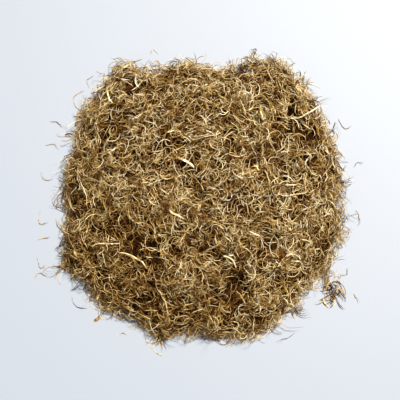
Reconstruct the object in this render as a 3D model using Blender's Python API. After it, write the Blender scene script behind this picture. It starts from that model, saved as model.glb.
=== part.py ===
"""Dried shredded shiitake stems: one loose heap of shreds, lying on a flat surface.

The heap is a tangled mound with locks of shreds standing out of it. The shreds that lie
apart on its top, one small tuft and the threads strayed round its foot are solids of their
own. Every length below is in millimetres, and becomes metres as the meshes are made.
+Z is up. The origin is on the resting surface, at the middle of the whole footprint.
"""

import math
import random

import bmesh
import bpy
from mathutils import Vector, noise
from mathutils.bvhtree import BVHTree
from mathutils.geometry import delaunay_2d_cdt

MM = 0.001
UP = Vector((0.0, 0.0, 1.0))
SHARP_ANGLE = math.radians(65.0)
THINNEST = 0.01

# The mound: how far its foot reaches (mm) at each bearing (degrees, from +X towards +Y).
REACH = (
    (0, 96), (10, 100), (20, 98), (30, 101), (40, 106), (49, 104), (57, 112), (64, 107),
    (70, 106), (79, 91), (90, 92), (98, 98), (104, 95), (111, 92), (118, 106), (124, 110),
    (129, 106), (137, 102), (143, 103), (148, 98), (153, 94), (161, 95), (170, 94),
    (180, 92), (189, 93), (195, 97), (203, 102), (210, 101), (218, 96), (224, 98),
    (232, 96), (240, 94), (246, 93), (251, 98), (258, 96), (264, 90), (270, 90),
    (275, 94), (281, 94), (287, 98), (293, 98), (300, 101), (306, 97), (315, 95),
    (325, 96), (334, 98), (342, 99), (352, 99),
)
WIDEST = 120.0
HEAP_HEIGHT = 46.0
DOME_POWER = 2.1
DOME_SHOULDER = 0.66
EDGE_HEIGHT = 6.0
FOOT_HEIGHT = 1.6
EDGE_SHARE = 0.985
BASE_SHARE = 0.985
LATTICE_STEP = 7.0
LATTICE_JITTER = 1.1
LATTICE_SHARE = 0.86
RIM_SHARES = (0.905, 0.95)
SPOKES = 76
RIM_WAVER = 1.2
RIM_FADE = 0.12

# Hills and hollows of the mound: x, y, radius and height, in mm.
LUMPS = (
    (-32, 82, 10, 3), (-12, 38, 13, 3), (22, 30, 13, 3), (-12, -18, 12, 4),
    (-5, -48, 12, 3), (52, 76, 12, 4), (88, 12, 12, 3), (75, -12, 12, 3),
    (-85, 10, 12, 3), (-85, -30, 10, 3), (-70, 55, 12, 3), (50, -40, 12, 3),
    (10, -85, 12, 3), (60, -75, 10, 3), (-55, -85, 10, 3), (40, 5, 12, 3),
    (-45, 73, 8, -3), (-58, 41, 9, -4), (-72, 24, 8, -4), (-17, 14, 9, -4),
    (8, 8, 10, -4), (-40, -28, 17, -6), (-68, -52, 8, -5), (59, 52, 12, -6),
    (73, 40, 7, -4), (29, -62, 15, -5), (5, -33, 9, -3), (-31, -70, 9, -4),
    (31, 89, 8, -3),
)
COARSE_ROUGHNESS = (13.0, 2.6)
FINE_ROUGHNESS = (6.5, 1.6)

# Locks: bundles of shreds that stand out of the mound and are one piece with it.
TOP_LOCKS = 60
FOOT_LOCKS = 18
LOCK_POINTS = 5
LOCK_SPREAD = 0.975
LOCK_CROWDING = 0.4
LOCK_HALF_WIDTH = (1.3, 2.1)
LOCK_FLATNESS = 0.75
LOCK_LENGTH = (18.0, 32.0)
LOCK_BURIED = 1.8
LOCK_RISE = 2.4
LOWEST_LOCK = 3.0
LOCK_TIP_RISE = 3.6
LOCK_TIP_SHARE = 0.35
TOP_LOCK_SWING = 1.25
TOP_LOCK_TURN = 1.4
FOOT_LOCK_SCALE = 0.6
FOOT_LOCK_ROOT = 9.0
FOOT_LOCK_OVERHANG = (3.0, 8.0)
FOOT_LOCK_SWING = 0.5
FOOT_LOCK_TURN = 0.9
FOOT_LOCK_HIGH = (3.5, 6.0)
FOOT_LOCK_LOW = (2.2, 4.5)
GOLDEN_ANGLE = math.pi * (3.0 - math.sqrt(5.0))

# The small tuft that lies apart from the heap.
TUFT_PLACE = (89.0, -62.5)
TUFT_SIZE = (5.0, 8.5, 4.6)
TUFT_RINGS = (0.0, 0.5, 0.8, 1.0)
TUFT_SPOKES = 14
TUFT_RAGGEDNESS = 0.12
TUFT_EDGE_HEIGHT = 0.9
TUFT_LOCKS = 7
TUFT_LOCK_SCALE = 0.5
TUFT_LOCK_BEARINGS = (-120.0, 100.0)
TUFT_LOCK_LENGTH = (8.0, 11.5)
TUFT_LOCK_LOW = (1.2, 2.6)

# Loose shreds, each through three points (x, y) in mm, as seen from above.
PALE_SPLINTERS = (
    ((-67, 27), (-61, 30), (-55, 33)),
    ((-16, 25), (-9, 23), (-4, 18)),
    ((-63, 76), (-62, 69), (-58, 64)),
    ((60, 54), (71, 56), (82, 64)),
    ((41, 62), (40, 56), (42, 50)),
    ((-54, -37), (-42, -40), (-35, -48)),
    ((-20, -9), (-15, -13), (-10, -15)),
    ((-72, -33), (-63, -31), (-53, -31)),
    ((35, 20), (37, 19), (39, 17)),
    ((61, -43), (66, -43), (69, -48)),
    ((15, -39), (21, -42), (24, -47)),
    ((84, -67), (86, -71), (88, -74)),
)
LONG_SHREDS = (
    ((-14, 98), (-9, 94), (-12, 88)),
    ((-21, 77), (-9, 68), (-1, 61)),
    ((-43, 51), (-38, 55), (-32, 56)),
    ((-20, 27), (-14, 31), (-9, 34)),
    ((66, 65), (70, 68), (75, 69)),
    ((46, 61), (49, 59), (51, 54)),
    ((40, 25), (45, 27), (50, 30)),
    ((50, 2), (62, 1), (73, 5)),
    ((3, 85), (6, 77), (11, 69)),
    ((-40, -35), (-34, -34), (-27, -36)),
    ((-47, -8), (-45, -15), (-38, -18)),
    ((-34, -14), (-30, -21), (-30, -29)),
    ((-88, -25), (-85, -33), (-81, -40)),
    ((-74, -15), (-75, -23), (-77, -28)),
    ((-76, -41), (-74, -46), (-69, -47)),
    ((-42, -75), (-38, -79), (-33, -80)),
    ((-12, -75), (-8, -71), (-2, -69)),
    ((-27, -61), (-23, -70), (-21, -78)),
    ((-4, -19), (-9, -24), (-14, -31)),
    ((-16, -52), (-8, -54), (0, -55)),
    ((2, -19), (10, -17), (18, -22)),
    ((39, -16), (45, -15), (50, -21)),
    ((49, -49), (56, -40), (65, -37)),
    ((24, -62), (28, -66), (30, -73)),
    ((79, -13), (84, -18), (87, -25)),
)
STRAY_THREADS = (
    ((-77, 78), (-78, 84), (-73, 87)),
    ((-89, 65), (-87, 72), (-79, 77)),
    ((-104, 55), (-99, 54), (-95, 51)),
    ((-107, 38), (-102, 39), (-97, 36)),
    ((-110, 20), (-107, 14), (-101, 16)),
    ((-110, -7), (-111, -15), (-104, -15)),
    ((-112, -28), (-108, -26), (-103, -25)),
    ((-112, -39), (-110, -46), (-106, -44)),
    ((-114, -55), (-110, -50), (-104, -53)),
    ((-88, -66), (-84, -73), (-77, -74)),
    ((-57, -95), (-54, -91), (-50, -92)),
    ((-34, -101), (-30, -104), (-25, -106)),
    ((52, -97), (58, -95), (65, -91)),
    ((97, -52), (101, -50), (101, -46)),
    ((96, 57), (100, 50), (105, 53)),
    ((106, 23), (109, 26), (113, 26)),
    ((107, -7), (110, -12), (109, -17)),
    ((105, -64), (107, -66), (109, -70)),
    ((-35, 102), (-32, 105), (-29, 102)),
)
BARK_CHIP = ((-72, -83), (-70, -81), (-67, -79))

# Half width and half thickness of each kind of loose shred.
SPLINTER_SECTION = (0.85, 0.45)
SHRED_SECTION = (0.55, 0.42)
THREAD_SECTION = (0.36, 0.34)
BARK_SECTION = (1.3, 0.55)
SHRED_POINTS = 7
FINE_STEPS = 6
STEEPEST = 14
HOLLOWEST = 3
HIGHEST_ARCH = 8
TIP_SHARE = 0.45
GAP = 0.35
CURL_LIFT = (0.6, 3.0)
WOBBLE = 0.35
WOBBLE_WAVES = (0.8, 1.6)
SIZE_SPREAD = (0.85, 1.15)
SIDE_ROOM = 0.3
SLOPE_STEP = 0.1
ARCH_STEP = 0.02
ARCH_EFFORT = 0.002

# What the light shows of each kind: colour and roughness of the dry fibre.
FINISHES = {
    "heap": ((0.36, 0.24, 0.10), 0.8),
    "pale": ((0.72, 0.60, 0.38), 0.6),
    "tan": ((0.52, 0.38, 0.18), 0.65),
    "thread": ((0.40, 0.29, 0.14), 0.65),
    "bark": ((0.21, 0.10, 0.045), 0.7),
}

dice = random.Random(24)


def clear_scene():
    """Removes whatever the file opened with."""
    for obj in list(bpy.data.objects):
        bpy.data.objects.remove(obj)


def fibre_material(name):
    """Dry mushroom fibre: matt, with no metal in it."""
    material = bpy.data.materials.new(name)
    material.use_nodes = True
    shader = material.node_tree.nodes["Principled BSDF"]
    colour, roughness = FINISHES[name]
    shader.inputs["Base Color"].default_value = (*colour, 1.0)
    shader.inputs["Roughness"].default_value = roughness
    shader.inputs["Metallic"].default_value = 0.0
    return material


def add_object(name, points, faces, material=None):
    """One named mesh object. Points are in millimetres."""
    mesh = bpy.data.meshes.new(name)
    mesh.from_pydata([Vector(p) * MM for p in points], [], faces)
    mesh.validate()
    mesh.shade_smooth()
    mesh.set_sharp_from_angle(angle=SHARP_ANGLE)
    if material:
        mesh.materials.append(material)
    obj = bpy.data.objects.new(name, mesh)
    bpy.context.scene.collection.objects.link(obj)
    return obj


def reach_at(bearing):
    """The mound's reach in mm at a bearing in radians, read between the stated bearings."""
    degrees = math.degrees(bearing) % 360.0
    around = REACH + ((REACH[0][0] + 360, REACH[0][1]),)
    for (low, near), (high, far) in zip(around, around[1:]):
        if low <= degrees <= high:
            share = (degrees - low) / (high - low)
            return near + (far - near) * share
    return REACH[0][1]


def rim_point(share, spoke):
    """A point of the plan on one spoke, at a share of the reach there."""
    bearing = 2.0 * math.pi * spoke / SPOKES
    reach = reach_at(bearing) + RIM_WAVER * noise.noise(Vector((spoke * 0.9, 3.1, 0.0)))
    return Vector((share * reach * math.cos(bearing), share * reach * math.sin(bearing)))


def roughness_at(x, y):
    """The mound's own tufty relief at two scales."""
    relief = 0.0
    for scale, height in (COARSE_ROUGHNESS, FINE_ROUGHNESS):
        relief += height * noise.noise(Vector((x / scale, y / scale, scale)))
    return relief


def mound_height(x, y):
    """Height of the mound's surface above the resting plane."""
    share = min(1.0, math.hypot(x, y) / reach_at(math.atan2(y, x)))
    dome = EDGE_HEIGHT
    dome += (HEAP_HEIGHT - EDGE_HEIGHT) * (1.0 - share**DOME_POWER) ** DOME_SHOULDER
    relief = roughness_at(x, y)
    for cx, cy, radius, height in LUMPS:
        relief += height * math.exp(-((x - cx) ** 2 + (y - cy) ** 2) / radius**2)
    fade = min(1.0, (1.0 - share) / RIM_FADE)
    return max(LOWEST_LOCK, dome + relief * fade)


def plan_points():
    """The plan of the mound's top: a jittered triangular lattice inside rings of the rim."""
    points = []
    row_step = LATTICE_STEP * math.sqrt(0.75)
    rows = math.ceil(WIDEST / row_step)
    columns = math.ceil(WIDEST / LATTICE_STEP)
    for row in range(-rows, rows + 1):
        for column in range(-columns, columns + 1):
            x = LATTICE_STEP * (column + 0.5 * (row % 2)) + dice.uniform(-1, 1) * LATTICE_JITTER
            y = row_step * row + dice.uniform(-1, 1) * LATTICE_JITTER
            if math.hypot(x, y) < LATTICE_SHARE * reach_at(math.atan2(y, x)):
                points.append(Vector((x, y)))
    for share in RIM_SHARES:
        points += [rim_point(share, spoke) for spoke in range(SPOKES)]
    return points


def make_mound(material):
    """The mound: a lumpy top over a steep ragged foot and a flat underside."""
    inner = plan_points()
    edge = [rim_point(EDGE_SHARE, spoke) for spoke in range(SPOKES)]
    plan = inner + edge
    first = len(inner)
    rim = [(first + i, first + (i + 1) % SPOKES) for i in range(SPOKES)]
    placed, _, faces, _, _, _ = delaunay_2d_cdt(plan, rim, [], 1, 1e-4)
    points = [(p.x, p.y, mound_height(p.x, p.y)) for p in placed]
    edge_ids = range(first, first + SPOKES)
    foot_ids = range(len(points), len(points) + SPOKES)
    for spoke in range(SPOKES):
        foot = rim_point(1.0, spoke)
        points.append((foot.x, foot.y, FOOT_HEIGHT))
    base_ids = range(len(points), len(points) + SPOKES)
    for spoke in range(SPOKES):
        base = rim_point(BASE_SHARE, spoke)
        points.append((base.x, base.y, 0.0))
    faces = [tuple(face) for face in faces]
    for upper, lower in ((edge_ids, foot_ids), (foot_ids, base_ids)):
        for i in range(SPOKES):
            after = (i + 1) % SPOKES
            faces.append((upper[i], lower[i], lower[after]))
            faces.append((upper[i], lower[after], upper[after]))
    faces.append(tuple(reversed(base_ids)))
    return add_object("heap", points, faces, material)


def sweep(centres, half_widths, half_thicknesses):
    """A four-sided strip along centres, closed at both ends: its points and its faces."""
    points = []
    faces = []
    last = len(centres) - 1
    for i, centre in enumerate(centres):
        along = (centres[min(i + 1, last)] - centres[max(i - 1, 0)]).normalized()
        side = along.cross(UP).normalized()
        rise = side.cross(along)
        for across, lift in ((1, 1), (-1, 1), (-1, -1), (1, -1)):
            wide = side * across * half_widths[i]
            points.append(centre + wide + rise * lift * half_thicknesses[i])
    for i in range(last):
        for k in range(4):
            a, b = 4 * i + k, 4 * i + (k + 1) % 4
            faces.append((a, a + 4, b + 4, b))
    faces.append((0, 1, 2, 3))
    faces.append(tuple(4 * last + k for k in (3, 2, 1, 0)))
    return points, faces


def taper(share, tip=TIP_SHARE):
    """Width of a shred at a share of its length: full in the middle, narrow at the tips."""
    return tip + (1.0 - tip) * math.sin(math.pi * share) ** 0.6


def through(start, middle, end, count):
    """Points on the plain curve through three points, with the middle one half way."""
    start, middle, end = Vector(start), Vector(middle), Vector(end)
    found = []
    for i in range(count):
        t = i / (count - 1)
        curve = start * (1 - t) * (1 - 2 * t) + middle * 4 * t * (1 - t)
        found.append(curve + end * t * (2 * t - 1))
    return found


def cutter(name, points, faces):
    """A helper body for a Boolean, which isn't part of the object itself."""
    obj = add_object(name, points, faces)
    obj.hide_render = True
    obj.display_type = "WIRE"
    return obj


def lock_body(name, path, heights, scale=1.0):
    """A lock of shreds along a path in plan, at the given heights."""
    last = len(path) - 1
    half_width = dice.uniform(*LOCK_HALF_WIDTH) * scale
    centres = [Vector((p.x, p.y, z)) for p, z in zip(path, heights)]
    widths = [half_width * taper(i / last, LOCK_TIP_SHARE) for i in range(last + 1)]
    thicknesses = [width * LOCK_FLATNESS for width in widths]
    return cutter(name, *sweep(centres, widths, thicknesses))


def arc_in_plan(start, heading, length, turn):
    """A lock's points along an arc that leaves start at heading and turns over its length."""
    found = [start]
    step = length / (LOCK_POINTS - 1)
    for i in range(1, LOCK_POINTS):
        angle = heading + turn * (i - 0.5) / (LOCK_POINTS - 1)
        found.append(found[-1] + step * Vector((math.cos(angle), math.sin(angle))))
    return found


def sloping(high, low):
    """The heights of a lock's points, falling evenly from high to low."""
    return [high + (low - high) * i / (LOCK_POINTS - 1) for i in range(LOCK_POINTS)]


def top_lock(index):
    """A lock that rises out of the mound's top and dips back, or ends in a free tip."""
    share = LOCK_SPREAD * ((index + 0.5) / TOP_LOCKS) ** LOCK_CROWDING
    bearing = index * GOLDEN_ANGLE
    reach = share * reach_at(bearing)
    start = Vector((reach * math.cos(bearing), reach * math.sin(bearing)))
    heading = bearing + math.pi + dice.uniform(-1, 1) * TOP_LOCK_SWING
    turn = dice.uniform(-1, 1) * TOP_LOCK_TURN
    path = arc_in_plan(start, heading, dice.uniform(*LOCK_LENGTH), turn)
    tip = dice.choice((-LOCK_BURIED, LOCK_TIP_RISE))
    heights = []
    for i, p in enumerate(path):
        t = i / (len(path) - 1)
        rise = -LOCK_BURIED * (1 - t) + tip * t + (LOCK_RISE + LOCK_BURIED) * math.sin(math.pi * t)
        heights.append(max(LOWEST_LOCK, mound_height(p.x, p.y) + rise))
    return lock_body(f"lock_cutter_{index}", path, heights)


def foot_lock(index):
    """A lock that sticks out of the mound's foot, clear of the resting surface."""
    bearing = 2.0 * math.pi * (index + dice.uniform(0.2, 0.8)) / FOOT_LOCKS
    reach = reach_at(bearing)
    root = reach - FOOT_LOCK_ROOT
    start = Vector((root * math.cos(bearing), root * math.sin(bearing)))
    heading = bearing + dice.uniform(-1, 1) * FOOT_LOCK_SWING
    length = FOOT_LOCK_ROOT + dice.uniform(*FOOT_LOCK_OVERHANG)
    path = arc_in_plan(start, heading, length, dice.uniform(-1, 1) * FOOT_LOCK_TURN)
    heights = sloping(dice.uniform(*FOOT_LOCK_HIGH), dice.uniform(*FOOT_LOCK_LOW))
    return lock_body(f"foot_lock_cutter_{index}", path, heights, FOOT_LOCK_SCALE)


def fuse(obj, bodies):
    """Joins helper bodies to an object in one exact union, and keeps its outer skin alone."""
    gathered = bpy.data.collections.new(obj.name + "_locks")
    bpy.context.scene.collection.children.link(gathered)
    for body in bodies:
        bpy.context.scene.collection.objects.unlink(body)
        gathered.objects.link(body)
    union = obj.modifiers.new("fused_locks", "BOOLEAN")
    union.operation = "UNION"
    union.solver = "EXACT"
    union.operand_type = "COLLECTION"
    union.collection = gathered
    graph = bpy.context.evaluated_depsgraph_get()
    joined = bpy.data.meshes.new_from_object(obj.evaluated_get(graph))
    obj.modifiers.clear()
    obj.data = joined
    for body in bodies:
        bpy.data.objects.remove(body)
    bpy.data.collections.remove(gathered)
    keep_outer_skin(obj)


def keep_outer_skin(obj):
    """Deletes every closed shell of a mesh but its largest, and cleans the seams of the union."""
    shape = bmesh.new()
    shape.from_mesh(obj.data)
    waiting = set(shape.verts)
    shells = []
    while waiting:
        shell = set()
        front = [waiting.pop()]
        while front:
            vertex = front.pop()
            shell.add(vertex)
            for edge in vertex.link_edges:
                other = edge.other_vert(vertex)
                if other in waiting:
                    waiting.remove(other)
                    front.append(other)
        shells.append(shell)
    shells.sort(key=len)
    for shell in shells[:-1]:
        bmesh.ops.delete(shape, geom=list(shell), context="VERTS")
    bmesh.ops.triangulate(shape, faces=shape.faces[:])
    bmesh.ops.dissolve_degenerate(shape, edges=shape.edges[:], dist=THINNEST * MM)
    bmesh.ops.triangulate(shape, faces=shape.faces[:])
    shape.to_mesh(obj.data)
    shape.free()


def make_tuft(material):
    """The small tuft: a low lump with its own locks, resting on the surface."""
    wide, deep, high = TUFT_SIZE
    points = [(TUFT_PLACE[0], TUFT_PLACE[1], high)]
    for share in TUFT_RINGS[1:]:
        for spoke in range(TUFT_SPOKES):
            bearing = 2.0 * math.pi * spoke / TUFT_SPOKES
            ragged = share * (1.0 + dice.uniform(-1, 1) * TUFT_RAGGEDNESS)
            x = TUFT_PLACE[0] + wide * ragged * math.cos(bearing)
            y = TUFT_PLACE[1] + deep * ragged * math.sin(bearing)
            rise = (high - TUFT_EDGE_HEIGHT) * (1.0 - share**2) ** DOME_SHOULDER
            points.append((x, y, TUFT_EDGE_HEIGHT + rise))
    outer = 1 + TUFT_SPOKES * (len(TUFT_RINGS) - 2)
    for spoke in range(TUFT_SPOKES):
        x, y, _ = points[outer + spoke]
        points.append((x, y, 0.0))
    faces = []
    for i in range(TUFT_SPOKES):
        after = (i + 1) % TUFT_SPOKES
        faces.append((0, 1 + i, 1 + after))
        for ring in range(len(TUFT_RINGS) - 1):
            a, b = 1 + TUFT_SPOKES * ring + i, 1 + TUFT_SPOKES * ring + after
            faces.append((a, a + TUFT_SPOKES, b + TUFT_SPOKES, b))
    base = 1 + TUFT_SPOKES * (len(TUFT_RINGS) - 1)
    faces.append(tuple(base + i for i in reversed(range(TUFT_SPOKES))))
    tuft = add_object("side_tuft", points, faces, material)
    bodies = []
    for index in range(TUFT_LOCKS):
        first, last = (math.radians(bearing) for bearing in TUFT_LOCK_BEARINGS)
        bearing = first + (last - first) * index / (TUFT_LOCKS - 1)
        start = Vector(TUFT_PLACE) - 0.2 * wide * Vector((math.cos(bearing), math.sin(bearing)))
        path = arc_in_plan(start, bearing, dice.uniform(*TUFT_LOCK_LENGTH), dice.uniform(-1, 1))
        heights = sloping(high - LOCK_BURIED, dice.uniform(*TUFT_LOCK_LOW))
        bodies.append(lock_body(f"tuft_lock_cutter_{index}", path, heights, TUFT_LOCK_SCALE))
    fuse(tuft, bodies)
    return tuft


class Ground:
    """The surface that loose shreds come down on: the heap, the tuft, or the plane below."""

    def __init__(self, objects):
        graph = bpy.context.evaluated_depsgraph_get()
        self.trees = [BVHTree.FromObject(obj, graph) for obj in objects]

    def add(self, points, faces):
        """Takes in a shred that has come to rest, so that the next can lie across it."""
        self.trees.append(BVHTree.FromPolygons([p * MM for p in points], faces))

    def height_at(self, x, y):
        """Height in mm of the highest surface under a point, with the gap, or 0 on the plane."""
        above = Vector((x * MM, y * MM, 0.2))
        found = 0.0
        for tree in self.trees:
            hit = tree.ray_cast(above, -UP)[0]
            if hit is not None:
                found = max(found, hit.z / MM + GAP)
        return found

    def height_round(self, point, radius):
        """The highest surface within a radius of a point."""
        heights = [self.height_at(point.x, point.y)]
        for k in range(8):
            x = point.x + radius * math.cos(k * math.pi / 4)
            y = point.y + radius * math.sin(k * math.pi / 4)
            heights.append(self.height_at(x, y))
        return max(heights)


def wobbled(path):
    """The path with a slight sideways waver, as dry fibre has."""
    phase = dice.uniform(0, 2 * math.pi)
    waves = dice.uniform(*WOBBLE_WAVES)
    found = []
    last = len(path) - 1
    for i, p in enumerate(path):
        along = path[min(i + 1, last)] - path[max(i - 1, 0)]
        side = Vector((-along.y, along.x)).normalized()
        found.append(p + side * WOBBLE * math.sin(phase + 2 * math.pi * waves * i / last))
    return found


def resting_heights(path, half_width, half_thickness, ground):
    """Heights at which a stiff, slightly arched shred lies lowest on what is under it."""
    last = len(path) - 1
    length = sum((b - a).length for a, b in zip(path, path[1:]))
    needed = []
    for i in range(last * FINE_STEPS + 1):
        whole, part = divmod(i, FINE_STEPS)
        spot = path[whole].lerp(path[min(whole + 1, last)], part / FINE_STEPS)
        height = ground.height_round(spot, half_width + SIDE_ROOM) + half_thickness
        needed.append((i / (last * FINE_STEPS), height))
    best = None
    for slope in range(-STEEPEST, STEEPEST + 1):
        for arch in range(-HOLLOWEST, HIGHEST_ARCH + 1):
            rise = SLOPE_STEP * slope * length
            bow = ARCH_STEP * arch * length
            level = max(h - rise * t - bow * 4 * t * (1 - t) for t, h in needed)
            middle = level + rise / 2 + bow * 2 / 3
            effort = middle + ARCH_EFFORT * abs(arch) * length
            if best is None or effort < best[0]:
                best = (effort, level, rise, bow)
    _, level, rise, bow = best
    shares = [i / last for i in range(last + 1)]
    return [level + rise * t + bow * 4 * t * (1 - t) for t in shares]


def make_shred(name, knots, section, material, ground, lift=0.0):
    """A loose shred lying where its three knots put it, one end lifted by its curl."""
    half_width, half_thickness = (size * dice.uniform(*SIZE_SPREAD) for size in section)
    path = wobbled(through(*knots, SHRED_POINTS))
    heights = resting_heights(path, half_width, half_thickness, ground)
    last = len(path) - 1
    centres = []
    for i, (p, z) in enumerate(zip(path, heights)):
        centres.append(Vector((p.x, p.y, z + lift * (i / last) ** 2)))
    shares = [taper(i / last) for i in range(last + 1)]
    widths = [half_width * share for share in shares]
    thicknesses = [half_thickness * share for share in shares]
    points, faces = sweep(centres, widths, thicknesses)
    ground.add(points, faces)
    obj = add_object(name, [p - centres[0] for p in points], faces, material)
    obj.location = centres[0] * MM
    return obj


def make_row(name, layout, section, material, ground, curls=False):
    """Numbered shreds of one kind, one for each place in the layout."""
    made = []
    for index, knots in enumerate(layout, 1):
        lift = dice.uniform(*CURL_LIFT) if curls else 0.0
        label = f"{name}_{index}"
        made.append(make_shred(label, knots, section, material, ground, lift))
    return made


def centre_footprint(objects):
    """Moves everything so that the origin is at the middle of the whole footprint."""
    bpy.context.view_layer.update()
    graph = bpy.context.evaluated_depsgraph_get()
    corners = []
    for obj in objects:
        seen = obj.evaluated_get(graph)
        corners += [seen.matrix_world @ Vector(corner) for corner in seen.bound_box]
    shift = Vector((0.0, 0.0, 0.0))
    for axis in (0, 1):
        values = [corner[axis] for corner in corners]
        shift[axis] = -(min(values) + max(values)) / 2
    for obj in bpy.data.objects:
        obj.location += shift


def main():
    """Builds the heap, the tuft and the loose shreds."""
    clear_scene()
    finish = {name: fibre_material(name) for name in FINISHES}
    heap = make_mound(finish["heap"])
    locks = [top_lock(i) for i in range(TOP_LOCKS)]
    locks += [foot_lock(i) for i in range(FOOT_LOCKS)]
    fuse(heap, locks)
    tuft = make_tuft(finish["tan"])
    bpy.context.view_layer.update()
    ground = Ground([heap, tuft])
    nodes = [heap, tuft]
    nodes += make_row("pale_splinter", PALE_SPLINTERS, SPLINTER_SECTION, finish["pale"], ground)
    nodes += make_row("long_shred", LONG_SHREDS, SHRED_SECTION, finish["tan"], ground)
    nodes += make_row(
        "stray_thread", STRAY_THREADS, THREAD_SECTION, finish["thread"], ground, curls=True
    )
    nodes.append(make_shred("bark_chip", BARK_CHIP, BARK_SECTION, finish["bark"], ground))
    centre_footprint(nodes)


main()
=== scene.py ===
"""Looks of the dried shredded shiitake stems: the heap's own shreds, finishes, light, camera.

The CAD gives the heap and the side tuft as solids, and the splinters, shreds and threads that
lie apart. Here the two solids are replaced by the shreds that they stand for, each a closed,
tapering, flattened strip grown along the solid's surface, and everything gets its finish.
Lengths are in metres, as in the frame, and MM turns a figure in millimetres into metres.
"""

import logging
import math
from dataclasses import dataclass, field
from enum import Enum

import bmesh
import bpy
import numpy as np
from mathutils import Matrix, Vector, noise
from mathutils.bvhtree import BVHTree
from mathutils.kdtree import KDTree


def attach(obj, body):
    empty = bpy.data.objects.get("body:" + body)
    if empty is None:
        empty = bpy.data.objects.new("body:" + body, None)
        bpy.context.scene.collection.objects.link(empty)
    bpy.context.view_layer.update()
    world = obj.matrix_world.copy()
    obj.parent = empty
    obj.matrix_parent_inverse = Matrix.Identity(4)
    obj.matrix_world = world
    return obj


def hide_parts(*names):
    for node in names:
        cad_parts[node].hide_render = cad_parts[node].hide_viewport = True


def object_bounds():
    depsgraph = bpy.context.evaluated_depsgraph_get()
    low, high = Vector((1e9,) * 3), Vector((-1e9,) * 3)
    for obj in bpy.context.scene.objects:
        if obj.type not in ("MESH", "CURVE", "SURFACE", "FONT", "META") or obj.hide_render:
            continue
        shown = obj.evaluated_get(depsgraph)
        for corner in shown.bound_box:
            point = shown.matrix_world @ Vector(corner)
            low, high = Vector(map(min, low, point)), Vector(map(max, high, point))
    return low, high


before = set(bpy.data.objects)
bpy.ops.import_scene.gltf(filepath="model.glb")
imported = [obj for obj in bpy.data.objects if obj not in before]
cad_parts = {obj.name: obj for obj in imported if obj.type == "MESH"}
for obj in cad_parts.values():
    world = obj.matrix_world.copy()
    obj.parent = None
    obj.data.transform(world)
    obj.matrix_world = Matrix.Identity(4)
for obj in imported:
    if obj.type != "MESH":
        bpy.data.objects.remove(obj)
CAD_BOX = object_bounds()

MM = 0.001
SEED = 20417
BODY = "root"
STRAND_MAP = "OFBake"
LOG = logging.getLogger("shredded_stems")

# Where the heap is sunken and dark: x, y and radius in millimetres, seen from above.
HOLLOWS = (
    (-45, 72, 6), (-59, 41, 9), (-72, 24, 7), (-14, 28, 6), (-10, 14, 6), (5, 7, 7),
    (-55, -17, 9), (-40, -28, 11), (-26, -38, 8), (-69, -52, 7), (62, 54, 8), (72, 40, 7),
    (28, -57, 9), (32, -72, 9), (7, -34, 8), (-31, -69, 8), (31, 90, 6), (60, 20, 6),
    (0, 52, 6), (45, -20, 6), (-85, -5, 6), (88, -30, 6),
)


def linear(hex_colour: str) -> tuple[float, float, float, float]:
    """Turns an sRGB hex colour into the linear colour that a shader takes.

    Args:
        hex_colour: six hex digits, with or without a leading hash sign.

    Returns:
        Red, green, blue and an alpha of 1, all linear.
    """
    digits = hex_colour.lstrip("#")
    levels = [int(digits[i : i + 2], 16) / 255.0 for i in (0, 2, 4)]
    lit = [v / 12.92 if v <= 0.04045 else ((v + 0.055) / 1.055) ** 2.4 for v in levels]
    return (lit[0], lit[1], lit[2], 1.0)


def unit(vectors: np.ndarray) -> np.ndarray:
    """Scales every vector of an array to length one.

    Args:
        vectors: an array whose last axis holds x, y and z.

    Returns:
        The array with unit vectors.
    """
    return vectors / np.maximum(np.linalg.norm(vectors, axis=-1, keepdims=True), 1e-12)


def dot(a: np.ndarray, b: np.ndarray) -> np.ndarray:
    """Dot product of two arrays of vectors, kept as a last axis of one."""
    return (a * b).sum(axis=-1, keepdims=True)


def within_box(points: np.ndarray, half_width: np.ndarray) -> np.ndarray:
    """Keeps paths above the resting surface and inside the box of the CAD.

    Args:
        points: the paths, by strand and ring.
        half_width: the half width at each of their points.

    Returns:
        The paths, moved no further than that takes.
    """
    lo, hi = np.array(CAD_BOX[0]), np.array(CAD_BOX[1])
    room = half_width[..., None]
    kept = np.clip(points, lo + room, hi - room)
    kept[..., 2] = np.maximum(kept[..., 2], half_width + 0.12 * MM)
    return kept


def add_node(tree: bpy.types.NodeTree, kind: str, settings: dict, links: dict) -> bpy.types.Node:
    """Adds one node to a material, with its settings and what feeds it.

    Args:
        tree: the material's node tree.
        kind: Blender's name for the node's type.
        settings: values by property name, or by input name or number for an input.
        links: an output socket for each input name or number that is fed.

    Returns:
        The new node.
    """
    node = tree.nodes.new(kind)
    for name, value in settings.items():
        if isinstance(name, str) and hasattr(node, name):
            setattr(node, name, value)
        else:
            node.inputs[name].default_value = value
    for name, source in links.items():
        tree.links.new(source, node.inputs[name])
    return node


class Section(Enum):
    """How many sides a shred's cross section has: three in the heap, six where it lies apart."""

    TANGLED = 3
    LOOSE = 6


@dataclass(frozen=True)
class ShredKind:
    """One layer of shreds: how many there are, their size, their lie and their tone.

    Pairs are the least and the most. Lengths, widths and depths are in millimetres, a
    negative depth lies inside the heap, and tones run from 0, dark skin, to 1, white core.
    """

    count: int
    section: Section
    rings: int
    length: tuple[float, float]
    width: tuple[float, float]
    flatness: tuple[float, float]
    depth: tuple[float, float]
    curl: float
    tone: tuple[float, float]
    split_share: float = 0.0
    climb: float = 0.25
    tufting: float = 1.0
    kink: float = 0.35


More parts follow.
